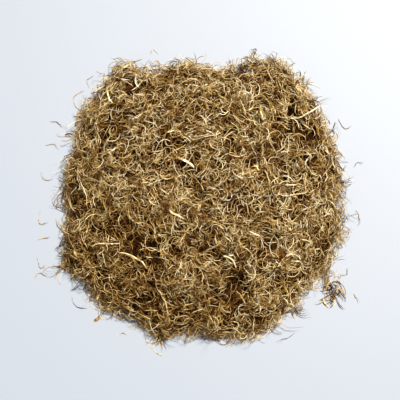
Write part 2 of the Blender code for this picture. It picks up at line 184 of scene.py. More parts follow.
@dataclass
class Strands:
    """The paths of many shreds, with the width, lie and tone along each."""

    points: np.ndarray
    facing: np.ndarray
    half_width: np.ndarray
    half_thickness: np.ndarray
    tone: np.ndarray
    warmth: np.ndarray
    skin: np.ndarray

    def chosen(self, rows: np.ndarray) -> "Strands":
        """The strands of the given rows alone."""
        return Strands(
            self.points[rows],
            self.facing[rows],
            self.half_width[rows],
            self.half_thickness[rows],
            self.tone[rows],
            self.warmth[rows],
            self.skin[rows],
        )

    def joined(self, other: "Strands") -> "Strands":
        """These strands with the other's after them."""
        return Strands(
            np.concatenate([self.points, other.points]),
            np.concatenate([self.facing, other.facing]),
            np.concatenate([self.half_width, other.half_width]),
            np.concatenate([self.half_thickness, other.half_thickness]),
            np.concatenate([self.tone, other.tone]),
            np.concatenate([self.warmth, other.warmth]),
            np.concatenate([self.skin, other.skin]),
        )


class Ground:
    """A softened copy of a CAD solid's surface, without its underside, for shreds to follow."""

    def __init__(self, node: bpy.types.Object, levels: int) -> None:
        """Reads the surface.

        Args:
            node: the CAD node.
            levels: how many times its faces are divided and smoothed.
        """
        shape = bmesh.new()
        shape.from_mesh(node.data)
        bmesh.ops.remove_doubles(shape, verts=shape.verts[:], dist=0.002 * MM)
        mesh = bpy.data.meshes.new("ground")
        shape.to_mesh(mesh)
        shape.free()
        helper = bpy.data.objects.new("ground", mesh)
        bpy.context.scene.collection.objects.link(helper)
        rounding = helper.modifiers.new("rounding", "SUBSURF")
        rounding.levels = levels
        seen = helper.evaluated_get(bpy.context.evaluated_depsgraph_get()).to_mesh()
        seen.calc_loop_triangles()
        places = np.empty(len(seen.vertices) * 3)
        seen.vertices.foreach_get("co", places)
        places = places.reshape(-1, 3)
        corners = np.empty(len(seen.loop_triangles) * 3, np.int64)
        seen.loop_triangles.foreach_get("vertices", corners)
        corners = corners.reshape(-1, 3)
        bpy.data.objects.remove(helper)
        a, b, c = (places[corners[:, i]] for i in range(3))
        across = np.cross(b - a, c - a)
        size = np.linalg.norm(across, axis=1)
        under = (across[:, 2] < -0.5 * size) & (a[:, 2] < 1.0 * MM)
        keep = (size > 0) & ~under
        self.corners = corners[keep]
        self.places = places
        self.areas = size[keep] / 2
        blended = np.zeros_like(places)
        for i in range(3):
            np.add.at(blended, self.corners[:, i], across[keep])
        blended = unit(blended)
        self.normals = unit(sum(blended[self.corners[:, i]] for i in range(3)))
        self.tree = BVHTree.FromPolygons(places.tolist(), self.corners.tolist())

    def scatter(self, count: int, dice: np.random.Generator) -> tuple[np.ndarray, np.ndarray]:
        """Draws points evenly over the surface.

        Args:
            count: how many points.
            dice: the source of chance.

        Returns:
            The points and the surface's outward direction at each.
        """
        share = self.areas / self.areas.sum()
        faces = dice.choice(len(self.areas), size=count, p=share)
        u, v = dice.random((2, count, 1))
        over = u + v > 1
        u, v = np.where(over, 1 - u, u), np.where(over, 1 - v, v)
        a, b, c = (self.places[self.corners[faces, i]] for i in range(3))
        return a + (b - a) * u + (c - a) * v, self.normals[faces]

    def nearest(self, points: np.ndarray) -> tuple[np.ndarray, np.ndarray]:
        """Finds the surface nearest to each point.

        Args:
            points: an array of points.

        Returns:
            The signed distance of each point, outside positive, and the outward directions.
        """
        found = np.empty_like(points)
        faces = np.empty(len(points), np.int64)
        for i, point in enumerate(points.tolist()):
            place, _, index, _ = self.tree.find_nearest(point)
            found[i] = place
            faces[i] = index
        outward = self.normals[faces]
        return dot(points - found, outward)[:, 0], outward

    def height_below(self, x: float, y: float) -> float:
        """Height of the surface under a place, or 0 where there is none."""
        hit = self.tree.ray_cast(Vector((x, y, 1.0)), Vector((0.0, 0.0, -1.0)))[0]
        return hit.z if hit else 0.0


@dataclass
class Grower:
    """Grows shreds over a ground, each one bending as it goes and drawn back to its depth."""

    ground: Ground
    dice: np.random.Generator
    loose: KDTree | None
    pull: float = 90.0
    levelling: float = 0.22
    clearance: float = 2.6 * MM
    hollows: tuple[tuple[float, float, float], ...] = HOLLOWS

    def warmth_at(self, points: np.ndarray) -> np.ndarray:
        """How orange-brown the shreds are at each point, in patches about 18 mm across."""
        found = []
        for x, y, z in (points / (8.0 * MM)).tolist():
            found.append(noise.noise(Vector((x, y, z))) + 0.4 * noise.noise(Vector((y * 2.3, z, x * 2.3))))
        return np.clip(0.4 + 0.9 * np.array(found), 0.0, 1.0)

    def tuftiness(self, points: np.ndarray) -> np.ndarray:
        """How thick the shreds lie at each point: 1 in a tuft, -1 in a hollow between tufts."""
        found = []
        for x, y, z in (points / MM).tolist():
            level = 0.9 * noise.noise(Vector((x, y, z)) / 7.0)
            level += 0.7 * noise.noise(Vector((y, z, x)) / 16.0)
            for cx, cy, radius in self.hollows:
                level -= 1.1 * math.exp(-((x - cx) ** 2 + (y - cy) ** 2) / radius**2)
            found.append(level)
        return np.clip(np.array(found), -1.0, 1.0)

    def grow(self, kind: ShredKind) -> Strands:
        """Grows one layer, thicker and prouder in the tufts than in the hollows.

        Args:
            kind: what the layer's shreds are like.

        Returns:
            Their paths, widths and tones.
        """
        dice = self.dice
        start, outward = self.ground.scatter(int(kind.count * 2.2), dice)
        tufted = self.tuftiness(start)
        wanted = np.clip(0.5 + 0.55 * kind.tufting * tufted, 0.04, 1.0)
        chance = np.log(dice.random(len(start))) / wanted
        rows = np.sort(np.argsort(chance)[-kind.count :])
        depth = dice.uniform(*kind.depth, size=kind.count) * MM
        depth += 0.9 * MM * kind.tufting * tufted[rows]
        heading = dice.normal(size=(kind.count, 3))
        return self.grow_from(kind, start[rows], outward[rows], heading, depth)

    def grow_from(
        self,
        kind: ShredKind,
        start: np.ndarray,
        outward: np.ndarray,
        heading: np.ndarray,
        depth: np.ndarray,
    ) -> Strands:
        """Grows shreds from given places.

        Args:
            kind: what the shreds are like.
            start: where each begins, on the ground's surface.
            outward: the surface's direction there.
            heading: the way that each sets off, before it is laid along the surface.
            depth: how far outside the surface each is drawn to lie.

        Returns:
            Their paths, widths and tones.
        """
        dice = self.dice
        count = len(start)
        length = np.exp(dice.uniform(*np.log(kind.length), size=(count, 1))) * MM
        step = length / (kind.rings - 1)
        along = heading - outward * dot(heading, outward)
        steep = np.clip(1.0 - outward[:, 2:3], 0.0, 1.0)
        depth = depth - 2.8 * MM * steep[:, 0]
        along = unit(unit(along) + outward * dice.normal(0, 1, (count, 1)) * kind.climb * (1 + 1.6 * steep))
        turn = (0.35 + abs(dice.normal(0, 0.8, (count, 1)))) * dice.choice([-1000.0, 1000.0], (count, 1)) * kind.curl
        arch = dice.normal(0, 0.35 * kind.curl, (count, 1)) * 1000.0
        place = start + outward * depth[:, None]
        points = np.empty((count, kind.rings, 3))
        facing = np.empty((count, kind.rings, 3))
        shade = np.empty((count, kind.rings))
        for ring in range(kind.rings):
            away, outward = self.ground.nearest(place)
            # Painted shade: a point's tone falls with its depth under the heap's surface, to no less than 12%.
            shade[:, ring] = np.clip(1.0 + away / (4.5 * MM), 0.12, 1.0)
            wanted = np.minimum(depth, self.allowed_depth(place))
            points[:, ring] = place
            facing[:, ring] = outward
            side = np.cross(outward, along)
            along = along + (turn * side + arch * outward) * step
            held = 1.0 - 0.55 * steep
            drift = dot(along, outward) * self.levelling + ((away - wanted)[:, None]) * self.pull
            drift = drift * held
            along = unit(along - outward * np.clip(drift, -0.6, 0.6))
            kinked = (dice.random((count, 1)) < 0.4) * kind.kink
            along = unit(along + dice.normal(size=(count, 3)) * kinked)
            place = place + along * step
            turn = turn + dice.normal(0, 0.22 * kind.curl, (count, 1)) * 1000.0
        return self.shaped(kind, points, facing, shade)

    def grow_fringe(self, kind: ShredKind, highest: float) -> Strands:
        """Grows shreds that stand out round the foot and sag to the resting surface.

        Args:
            kind: what they are like. Its depth is how far out each begins.
            highest: how high up the heap the highest of them begins, in millimetres.

        Returns:
            Their paths, widths and tones.
        """
        dice = self.dice
        start, outward = self.ground.scatter(kind.count * 40, dice)
        low = np.flatnonzero(start[:, 2] < highest * dice.random(len(start)) ** 0.7 * MM)[: kind.count * 4]
        start, outward = start[low], outward[low]
        wanted = np.clip(0.12 + 1.2 * self.tuftiness(start), 0.03, 1.0)
        rows = np.argsort(np.log(dice.random(len(start))) / wanted)[-kind.count :]
        start, outward = start[rows], outward[rows]
        count = len(start)
        length = np.exp(dice.uniform(*np.log(kind.length), size=(count, 1))) * MM
        step = length / (kind.rings - 1)
        lateral = np.cross(outward, [0.0, 0.0, 1.0])
        along = outward * [1.0, 1.0, 0.4] + lateral * dice.normal(0, 0.9, (count, 1))
        along = unit(along + dice.normal(0, 0.25, (count, 3)))
        turn = (0.3 + abs(dice.normal(0, 0.9, (count, 1)))) * dice.choice([-1000.0, 1000.0], (count, 1)) * kind.curl
        place = start + outward * dice.uniform(*kind.depth, size=(count, 1)) * MM
        points = np.empty((count, kind.rings, 3))
        for ring in range(kind.rings):
            points[:, ring] = place
            side = np.cross([0.0, 0.0, 1.0], along)
            along = along + turn * side * step - np.array([0.0, 0.0, 130.0]) * step
            along = unit(along + dice.normal(0, kind.kink, (count, 3)) * 0.5)
            place = place + along * step
            landed = place[:, 2] < 0.35 * MM
            place[landed, 2] = 0.35 * MM
            along[landed, 2] = dice.uniform(0.0, 0.35, landed.sum())
            turn = turn + dice.normal(0, 0.25 * kind.curl, (count, 1)) * 1000.0
        facing = np.broadcast_to(np.array([0.0, 0.0, 1.0]), points.shape).copy()
        shade = np.ones((count, kind.rings))
        return self.shaped(kind, points, facing, shade)

    def allowed_depth(self, places: np.ndarray) -> np.ndarray:
        """The most that a shred may stand out at each place, less close to a loose shred."""
        if self.loose is None:
            return np.full(len(places), 1.0)
        gaps = np.array([self.loose.find(point)[2] for point in places.tolist()])
        return np.where(gaps < self.clearance, -0.5 * MM, 1.0)

    def shaped(
        self, kind: ShredKind, points: np.ndarray, facing: np.ndarray, shade: np.ndarray
    ) -> Strands:
        """Gives paths their widths, tapers, tones and places above the resting surface.

        Args:
            kind: what the shreds are like.
            points: the paths.
            facing: the surface's direction at each point.
            shade: painted shade, how much of its tone each point keeps: less, the deeper it lies.

        Returns:
            The finished strands.
        """
        dice = self.dice
        count, rings = points.shape[:2]
        width = np.exp(dice.uniform(*np.log(kind.width), size=(count, 1))) * MM / 2
        share = np.linspace(0.0, 1.0, rings)[None]
        first = dice.uniform(0.06, 0.35, (count, 1))
        last = dice.uniform(0.10, 0.55, (count, 1))
        taper = np.minimum(1.0, (share / first) ** 0.6) * np.minimum(1.0, ((1 - share) / last) ** 0.7)
        ragged = dice.uniform(0.82, 1.15, (count, rings))
        half_width = width * np.maximum(taper * ragged, 0.14)
        half_thickness = half_width * dice.uniform(*kind.flatness, size=(count, 1))
        points = within_box(points, half_width)
        warmth = self.warmth_at(points[:, rings // 2])
        tone = dice.beta(1.0, 1.2, count) * (kind.tone[1] - kind.tone[0]) + kind.tone[0]
        # Painted shade: tones up to 18% darker towards the lower left, the side away from the key light.
        tone *= 1.0 - 0.18 * np.clip((-points[:, 0, 0] - points[:, 0, 1]) / (110.0 * MM), 0.0, 1.0)
        # Painted shade: each point keeps less of its tone the deeper it lies.
        tone = tone[:, None] * shade
        skin = (dice.random(count) < 0.35) * dice.uniform(0.4, 1.0, count)
        strands = Strands(points, facing, half_width, half_thickness, tone, warmth, skin)
        if kind.split_share > 0:
            strands = strands.joined(self.split_off(strands, kind.split_share))
        return strands

    def split_off(self, parents: Strands, share: float) -> Strands:
        """Finer fibres that run with a shred and part from it towards one end.

        Args:
            parents: the shreds that split.
            share: how many of them do.

        Returns:
            The fibres.
        """
        dice = self.dice
        rows = np.flatnonzero(dice.random(len(parents.points)) < share)
        fibre = parents.chosen(rows)
        flip = dice.random(len(rows)) < 0.5
        turned = (fibre.points, fibre.facing, fibre.half_width, fibre.half_thickness, fibre.tone)
        for values in turned:
            values[flip] = values[flip][:, ::-1]
        rings = fibre.points.shape[1]
        along = np.gradient(fibre.points, axis=1)
        side = unit(np.cross(fibre.facing, along))
        part = np.linspace(0.0, 1.0, rings)[None, :, None]
        sway = dice.choice([-1.0, 1.0], (len(rows), 1, 1))
        apart = fibre.half_width[:, 1:2, None] * 1.1 + part**1.8 * dice.uniform(1.0, 4.5, (len(rows), 1, 1)) * MM
        rise = part**2 * dice.uniform(-0.8, 1.6, (len(rows), 1, 1)) * MM
        fibre.points = fibre.points + side * sway * apart + unit(fibre.facing) * rise
        fibre.half_width = fibre.half_width * dice.uniform(0.4, 0.75, (len(rows), 1))
        fibre.half_thickness = fibre.half_thickness * 0.6
        fibre.points = within_box(fibre.points, fibre.half_width)
        fibre.tone = np.clip(fibre.tone + dice.normal(0, 0.07, (len(rows), 1)), 0.02, 1.0)
        return fibre


@dataclass
class StrandMesh:
    """Turns strands into one mesh of closed, tapering strips."""

    section: Section
    roll: float = 2.2
    twist: float = 0.5

    def build(self, name: str, strands: Strands, dice: np.random.Generator) -> bpy.types.Object:
        """Builds the piece.

        Args:
            name: the piece's name.
            strands: what it is made of.
            dice: the source of chance.

        Returns:
            The new object, with its strand attributes and bake map.
        """
        sides = self.section.value
        count, rings = strands.points.shape[:2]
        angle = 2 * math.pi * np.arange(sides) / sides
        roll = dice.uniform(0, self.roll, (count, 1))
        twist = dice.normal(0, self.twist, (count, 1)) * np.linspace(0, 1, rings)[None]
        along = unit(np.gradient(strands.points, axis=1))
        side = unit(np.cross(strands.facing, along) + 1e-9)
        up = np.cross(along, side)
        lean = (roll + twist)[..., None]
        wide = side * np.cos(lean) + up * np.sin(lean)
        thick = up * np.cos(lean) - side * np.sin(lean)
        ring = strands.points[:, :, None] + (
            wide[:, :, None] * np.cos(angle)[:, None] * strands.half_width[:, :, None, None]
            + thick[:, :, None] * np.sin(angle)[:, None] * strands.half_thickness[:, :, None, None]
        )
        mesh = self.mesh_of(name, ring)
        self.write_attributes(mesh, strands, ring, angle, dice)
        obj = bpy.data.objects.new(name, mesh)
        bpy.context.scene.collection.objects.link(obj)
        return obj

    def mesh_of(self, name: str, ring: np.ndarray) -> bpy.types.Mesh:
        """Joins rings of points into closed strips, with one bake cell for each strip.

        Args:
            name: the mesh's name.
            ring: the points, by strand, ring and side.

        Returns:
            The mesh.
        """
        count, rings, sides = ring.shape[:3]
        base = (np.arange(count) * rings * sides)[:, None, None]
        k, j = np.meshgrid(np.arange(rings - 1), np.arange(sides), indexing="ij")
        a = k * sides + j
        b = k * sides + (j + 1) % sides
        quads = np.stack([a, b, b + sides, a + sides], axis=-1)
        quads = (base[..., None] + quads[None]).reshape(-1, 4)
        near = (base[:, 0] + np.arange(sides)[::-1][None]).reshape(-1, sides)
        far = (base[:, 0] + (rings - 1) * sides + np.arange(sides)[None]).reshape(-1, sides)
        mesh = bpy.data.meshes.new(name)
        mesh.vertices.add(count * rings * sides)
        mesh.vertices.foreach_set("co", ring.astype(np.float32).ravel())
        loops = np.concatenate([quads.ravel(), near.ravel(), far.ravel()])
        sizes = np.concatenate(
            [np.full(len(quads), 4), np.full(len(near), sides), np.full(len(far), sides)]
        )
        mesh.loops.add(len(loops))
        mesh.loops.foreach_set("vertex_index", loops.astype(np.int32))
        mesh.polygons.add(len(sizes))
        starts = np.concatenate([[0], np.cumsum(sizes)[:-1]])
        mesh.polygons.foreach_set("loop_start", starts.astype(np.int32))
        self.write_map(mesh, count, rings, sides)
        mesh.update(calc_edges=True)
        mesh.shade_smooth()
        return mesh

    def write_map(self, mesh: bpy.types.Mesh, count: int, rings: int, sides: int) -> None:
        """Lays each strand's skin out in a small cell of its own.

        Args:
            mesh: the mesh.
            count: how many strands it has.
            rings: points along each.
            sides: points round each.
        """
        columns = max(1, int(math.sqrt(count / 4.0)))
        rows = math.ceil(count / columns)
        margin = 0.06
        k, j = np.meshgrid(np.arange(rings - 1), np.arange(sides), indexing="ij")
        u = np.stack([k, k, k + 1, k + 1], axis=-1) / (rings - 1)
        v = np.stack([j, j + 1, j + 1, j], axis=-1) / sides
        body = np.stack([margin * 2 + u * (1 - 4 * margin), margin + v * (1 - 2 * margin)], axis=-1)
        turn = 2 * math.pi * np.arange(sides) / sides
        cap = np.stack([0.4 * margin * np.cos(turn), 0.3 * np.sin(turn) + 0.5], axis=-1)
        near = cap[::-1] + [margin, 0.0]
        far = cap + [1 - margin, 0.0]
        cell = np.stack([np.arange(count) % columns, np.arange(count) // columns], axis=-1)
        grid = np.array([columns, rows], float)
        parts = []
        for part in (body.reshape(-1, 2), near, far):
            parts.append(((cell[:, None] + part[None]) / grid).reshape(-1, 2))
        layer = mesh.uv_layers.new(name=STRAND_MAP)
        layer.uv.foreach_set("vector", np.concatenate(parts).astype(np.float32).ravel())

    def write_attributes(
        self,
        mesh: bpy.types.Mesh,
        strands: Strands,
        ring: np.ndarray,
        angle: np.ndarray,
        dice: np.random.Generator,
    ) -> None:
        """Stores what the finishes read: tone, with the painted shade of deep points in it, warmth, skin and the way
        that the fibres run.

        Args:
            mesh: the mesh.
            strands: the strands it holds.
            ring: its points, by strand, ring and side.
            angle: the angle of each side.
            dice: the source of chance.
        """
        count, rings, sides = ring.shape[:3]
        steps = np.linalg.norm(np.diff(strands.points, axis=1), axis=2)
        travelled = np.concatenate([np.zeros((count, 1)), np.cumsum(steps, axis=1)], axis=1)
        grain = np.empty((count, rings, sides, 3))
        grain[..., 0] = travelled[:, :, None] / (6.0 * MM)
        grain[..., 1] = strands.half_width[:, :, None] * np.cos(angle) / (0.12 * MM)
        grain[..., 2] = strands.half_width[:, :, None] * np.sin(angle) / (0.12 * MM)
        grain += dice.uniform(0, 900, (count, 1, 1, 3))
        end_tone = dice.normal(0, 0.10, (count, 2))
        share = np.linspace(0, 1, rings)[None]
        tone = strands.tone + end_tone[:, :1] * (1 - share) + end_tone[:, 1:] * share
        spread = (count, rings, sides)
        side_phase = dice.uniform(0, 2 * math.pi, (count, 1, 1))
        skin = strands.skin[:, None, None] * (0.5 + 0.5 * np.cos(angle[None, None] - side_phase))
        fields = {
            "tone": np.broadcast_to(np.clip(tone, 0, 1)[:, :, None], spread),
            "warmth": np.broadcast_to(strands.warmth[:, None, None], spread),
            "skin": np.broadcast_to(skin, spread),
        }
        for name, values in fields.items():
            store = mesh.attributes.new(name, "FLOAT", "POINT")
            store.data.foreach_set("value", values.astype(np.float32).ravel())
        store = mesh.attributes.new("grain", "FLOAT_VECTOR", "POINT")
        store.data.foreach_set("vector", grain.astype(np.float32).ravel())


@dataclass(frozen=True)
class DriedStemFinish:
    """Air-dried shiitake stem, torn along its fibres: matt, faintly silky, never glossy.

    The white core shows as cream and straw, the outside as tan to dark brown, and where the
    juices dried in the fibres they are orange-brown. Chitin's IOR is near 1.53.
    """

    name: str
    brightness: float = 1.0
    pale: str = "#F5EBD2"
    straw: str = "#E4D4AA"
    tan: str = "#B59A60"
    brown: str = "#6C4818"
    # The darkest stops also take the painted shade that deep strands carry in their tone.
    dark: str = "#240F03"
    juice_light: str = "#DFC898"
    juice: str = "#AA8743"
    juice_dark: str = "#56320E"
    skin_brown: str = "#5A3619"
    ior: float = 1.53
    roughness: float = 0.62

    def make(self) -> bpy.types.Material:
        """Builds the material.

        Returns:
            The material, which reads the attributes that StrandMesh writes.
        """
        material = bpy.data.materials.new(self.name)
        material.use_nodes = True
        tree = material.node_tree
        shader = tree.nodes["Principled BSDF"]
        # For the heap's shreds the tone holds painted shade: it is darker the deeper a point lies.
        tone = add_node(tree, "ShaderNodeAttribute", {"attribute_name": "tone"}, {})
        warmth = add_node(tree, "ShaderNodeAttribute", {"attribute_name": "warmth"}, {})
        skin = add_node(tree, "ShaderNodeAttribute", {"attribute_name": "skin"}, {})
        grain = add_node(tree, "ShaderNodeAttribute", {"attribute_name": "grain"}, {})
        fibrils = add_node(
            tree,
            "ShaderNodeTexNoise",
            {"Scale": 1.0, "Detail": 2.0, "Roughness": 0.6},
            {"Vector": grain.outputs["Vector"]},
        )
        uneven = add_node(
            tree,
            "ShaderNodeMath",
            {"operation": "MULTIPLY_ADD", 1: 0.34, 2: -0.17},
            {0: fibrils.outputs["Fac"]},
        )
        level = add_node(
            tree,
            "ShaderNodeMath",
            {"operation": "ADD", "use_clamp": True},
            {0: tone.outputs["Fac"], 1: uneven.outputs[0]},
        )
        plain = self.ramp(tree, level.outputs[0], (self.dark, self.brown, self.tan, self.straw, self.pale))
        juicy = self.ramp(
            tree,
            level.outputs[0],
            (self.dark, self.juice_dark, self.juice, self.juice_light, self.pale),
        )
        stained = add_node(
            tree,
            "ShaderNodeMix",
            {"data_type": "RGBA"},
            {0: warmth.outputs["Fac"], 6: plain.outputs["Color"], 7: juicy.outputs["Color"]},
        )
        edge = add_node(
            tree,
            "ShaderNodeMapRange",
            {"From Min": 0.35, "From Max": 0.8, "To Max": 0.75},
            {"Value": skin.outputs["Fac"]},
        )
        skinned = add_node(
            tree,
            "ShaderNodeMix",
            {"data_type": "RGBA", 7: linear(self.skin_brown)},
            {0: edge.outputs[0], 6: stained.outputs[2]},
        )
        tree.links.new(skinned.outputs[2], shader.inputs["Base Color"])
        bump = add_node(
            tree,
            "ShaderNodeBump",
            {"Strength": 0.35, "Distance": 0.08 * MM},
            {"Height": fibrils.outputs["Fac"]},
        )
        tree.links.new(bump.outputs["Normal"], shader.inputs["Normal"])
        shader.inputs["Roughness"].default_value = self.roughness
        shader.inputs["IOR"].default_value = self.ior
        shader.inputs["Specular IOR Level"].default_value = 0.12
        return material

    def ramp(
        self, tree: bpy.types.NodeTree, level: bpy.types.NodeSocket, colours: tuple[str, ...]
    ) -> bpy.types.Node:
        """A colour ramp from the darkest tone to the palest.

        Args:
            tree: the material's node tree.
            level: the tone, from 0 to 1.
            colours: hex colours, evenly spaced.

        Returns:
            The ramp node.
        """
        node = add_node(tree, "ShaderNodeValToRGB", {}, {"Fac": level})
        points = node.color_ramp.elements
        while len(points) < len(colours):
            points.new(0.5)
        for i, colour in enumerate(colours):
            points[i].position = i / (len(colours) - 1)
            points[i].color = tuple(c * self.brightness for c in linear(colour)[:3]) + (1.0,)
        return node


@dataclass(frozen=True)
class PaintedShadeInsideFinish:
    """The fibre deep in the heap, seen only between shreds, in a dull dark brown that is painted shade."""

    name: str = "matted_fibre_painted_shade"
    light: str = "#2E1B10"
    dark: str = "#0D0706"

    def make(self) -> bpy.types.Material:
        """Builds the material.

        Returns:
            The material, with a mottle about 1.5 mm across.
        """
        material = bpy.data.materials.new(self.name)
        material.use_nodes = True
        tree = material.node_tree
        shader = tree.nodes["Principled BSDF"]
        where = add_node(tree, "ShaderNodeTexCoord", {}, {})
        mottle = add_node(
            tree,
            "ShaderNodeTexNoise",
            {"Scale": 650.0, "Detail": 4.0, "Roughness": 0.65},
            {"Vector": where.outputs["Object"]},
        )
        node = add_node(tree, "ShaderNodeValToRGB", {}, {"Fac": mottle.outputs["Fac"]})
        points = node.color_ramp.elements
        points[0].position, points[1].position = 0.38, 0.68
        points[0].color, points[1].color = linear(self.dark), linear(self.light)
        tree.links.new(node.outputs["Color"], shader.inputs["Base Color"])
        bump = add_node(
            tree,
            "ShaderNodeBump",
            {"Strength": 0.8, "Distance": 0.5 * MM},
            {"Height": mottle.outputs["Fac"]},
        )
        tree.links.new(bump.outputs["Normal"], shader.inputs["Normal"])
        shader.inputs["Roughness"].default_value = 0.9
        shader.inputs["Specular IOR Level"].default_value = 0.0
        return material


def place(obj: bpy.types.Object, material: bpy.types.Material, slot: str, *nodes: str) -> None:
    """Finishes a piece and ties it to the frame.

    Args:
        obj: the piece.
        material: its finish.
        slot: a material slot's name, not used.
        nodes: the CAD nodes that it stands for.
    """
    obj.data.materials.append(material)
    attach(obj, BODY)
    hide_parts(*nodes)
    faces = sum(len(p.vertices) - 2 for p in obj.data.polygons)
    LOG.info("%s: %d triangles", obj.name, faces)


@dataclass
class Heap:
    """The heap: its matted inside, in a dark finish that is painted shade, and the layers of shreds over it."""

    dice: np.random.Generator
    finish: bpy.types.Material
    # the finish of the inside, a dark brown that is painted shade
    matted: bpy.types.Material
    loose: KDTree
    fringe: ShredKind = ShredKind(
        1350, Section.TANGLED, 8, (5, 19), (0.24, 0.52), (0.5, 0.9), (-3.5, -0.5), 0.22, (0.25, 1.0), 0.2, kink=0.3
    )
    layers: dict[str, ShredKind] = field(
        default_factory=lambda: {
            # Painted shade: the lowest layer keeps to dark tones, 0.1 to 0.4.
            "deep_shreds": ShredKind(
                1800, Section.TANGLED, 4, (7, 16), (0.5, 1.0), (0.5, 0.9), (-6.0, -3.0), 0.10, (0.1, 0.4), 0.0, 0.4, 0.0
            ),
            "middle_shreds_a": ShredKind(
                4200, Section.TANGLED, 4, (5, 12), (0.28, 0.68), (0.4, 0.8), (-3.8, -1.0), 0.14, (0.05, 0.8), 0.3, 0.5, 0.5
            ),
            "middle_shreds_b": ShredKind(
                5400, Section.TANGLED, 5, (5, 13), (0.28, 0.68), (0.4, 0.8), (-2.6, 0.2), 0.14, (0.05, 0.95), 0.3, 0.5, 0.7
            ),
            "top_shreds_a": ShredKind(
                4100, Section.TANGLED, 6, (6, 17), (0.28, 0.7), (0.4, 0.75), (-1.2, 0.9), 0.16, (0.05, 0.95), 0.3, 0.5, 0.6, 0.22
            ),
            "top_shreds_b": ShredKind(
                4100, Section.TANGLED, 6, (6, 17), (0.28, 0.7), (0.4, 0.75), (-0.4, 1.4), 0.16, (0.1, 0.95), 0.3, 0.5, 0.6, 0.22
            ),
            "curled_threads": ShredKind(
                1100, Section.TANGLED, 9, (10, 22), (0.3, 0.55), (0.6, 0.9), (0.2, 1.8), 0.17, (0.4, 1.0), 0.2, 0.3, 0.8, 0.2
            ),
            "fine_fibres": ShredKind(
                6000, Section.TANGLED, 4, (3, 8), (0.2, 0.38), (0.7, 1.0), (-1.4, 1.6), 0.2, (0.2, 0.9), 0.0, 0.6, 0.8, 0.5
            ),
        }
    )

    def build(self) -> None:
        """Builds the matted inside and every layer."""
        ground = Ground(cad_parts["heap"], 1)
        self.build_inside(ground)
        grower = Grower(ground, self.dice, self.loose)
        for name, kind in self.layers.items():
            strands = grower.grow(kind)
            piece = StrandMesh(kind.section).build(name, strands, self.dice)
            place(piece, self.finish, "matted_fibre", "heap")
        fringe = grower.grow_fringe(self.fringe, 16.0)
        piece = StrandMesh(self.fringe.section).build("foot_fringe", fringe, self.dice)
        place(piece, self.finish, "matted_fibre", "heap")

    def build_inside(self, ground: Ground) -> None:
        """The matted inside: the heap's form drawn in by a few millimetres, finished dark brown as painted shade.

        Args:
            ground: the heap's surface.
        """
        spokes, rings, inset = 150, 34, 3.8 * MM
        reach = []
        for spoke in range(spokes):
            bearing = 2 * math.pi * spoke / spokes
            way = Vector((math.cos(bearing), math.sin(bearing), 0.0))
            hit = ground.tree.ray_cast(way * 0.2 + Vector((0, 0, 2.6 * MM)), -way)[0]
            reach.append(hit.xy.length if hit else 90 * MM)
        reach = np.array(reach)
        reach = np.min([np.roll(reach, k) for k in range(-3, 4)], axis=0) - inset
        points = []
        for ring in range(rings + 1):
            share = ring / rings
            for spoke in range(spokes):
                bearing = 2 * math.pi * spoke / spokes
                x = share * reach[spoke] * math.cos(bearing)
                y = share * reach[spoke] * math.sin(bearing)
                around = [
                    ground.height_below(x + dx * inset, y + dy * inset)
                    for dx, dy in ((0, 0), (1, 0), (-1, 0), (0, 1), (0, -1), (0.7, 0.7), (-0.7, -0.7), (0.7, -0.7), (-0.7, 0.7))
                ]
                rough = 0.7 * MM * noise.noise(Vector((x, y, share)) / (2.0 * MM))
                points.append((x, y, max(1.2 * MM, min(around) - inset + rough)))
        for spoke in range(spokes):
            x, y, _ = points[rings * spokes + spoke]
            points.append((x, y, 0.4 * MM))
        faces = []
        for ring in range(rings + 1):
            for spoke in range(spokes):
                a, b = ring * spokes + spoke, ring * spokes + (spoke + 1) % spokes
                faces.append((a, a + spokes, b + spokes, b))
        base = (rings + 1) * spokes
        faces.append(tuple(base + i for i in reversed(range(spokes))))
        mesh = bpy.data.meshes.new("matted_inside")
        mesh.from_pydata(points, [], faces)
        shape = bmesh.new()
        shape.from_mesh(mesh)
        bmesh.ops.remove_doubles(shape, verts=shape.verts[:], dist=0.01 * MM)
        shape.to_mesh(mesh)
        shape.free()
        mesh.shade_smooth()
        obj = bpy.data.objects.new("matted_inside", mesh)
        bpy.context.scene.collection.objects.link(obj)
        # Painted shade: the inside's dark finish shows between the shreds.
        place(obj, self.matted, "matted_fibre", "heap")


@dataclass
class SideTuft:
    """The small tuft that lies apart from the heap."""

    dice: np.random.Generator
    finish: bpy.types.Material
    layers: tuple[ShredKind, ...] = (
        ShredKind(16, Section.TANGLED, 7, (6, 12), (0.6, 1.1), (0.4, 0.7), (-3.0, -1.0), 0.06, (0.2, 0.6)),
        ShredKind(26, Section.TANGLED, 9, (7, 14), (0.5, 1.2), (0.4, 0.7), (-2.0, 0.0), 0.07, (0.25, 0.75), 0.5),
    )

    def build(self) -> None:
        """Builds the tuft."""
        ground = Ground(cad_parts["side_tuft"], 1)
        grower = Grower(ground, self.dice, None, pull=60.0, levelling=0.08)
        for name, kind in zip(("side_tuft_inner", "side_tuft_outer"), self.layers):
            piece = StrandMesh(kind.section).build(name, grower.grow(kind), self.dice)
            place(piece, self.finish, "tan_fibre", "side_tuft")


@dataclass(frozen=True)
class LooseKind:
    """A family of shreds that lie apart: its slot, its tone and how its ends are frayed."""

    slot: str
    finish: DriedStemFinish
    tone: tuple[float, float]
    skin: float
    fibres: int
    parting: tuple[float, float]
    slimness: float
    kink: float


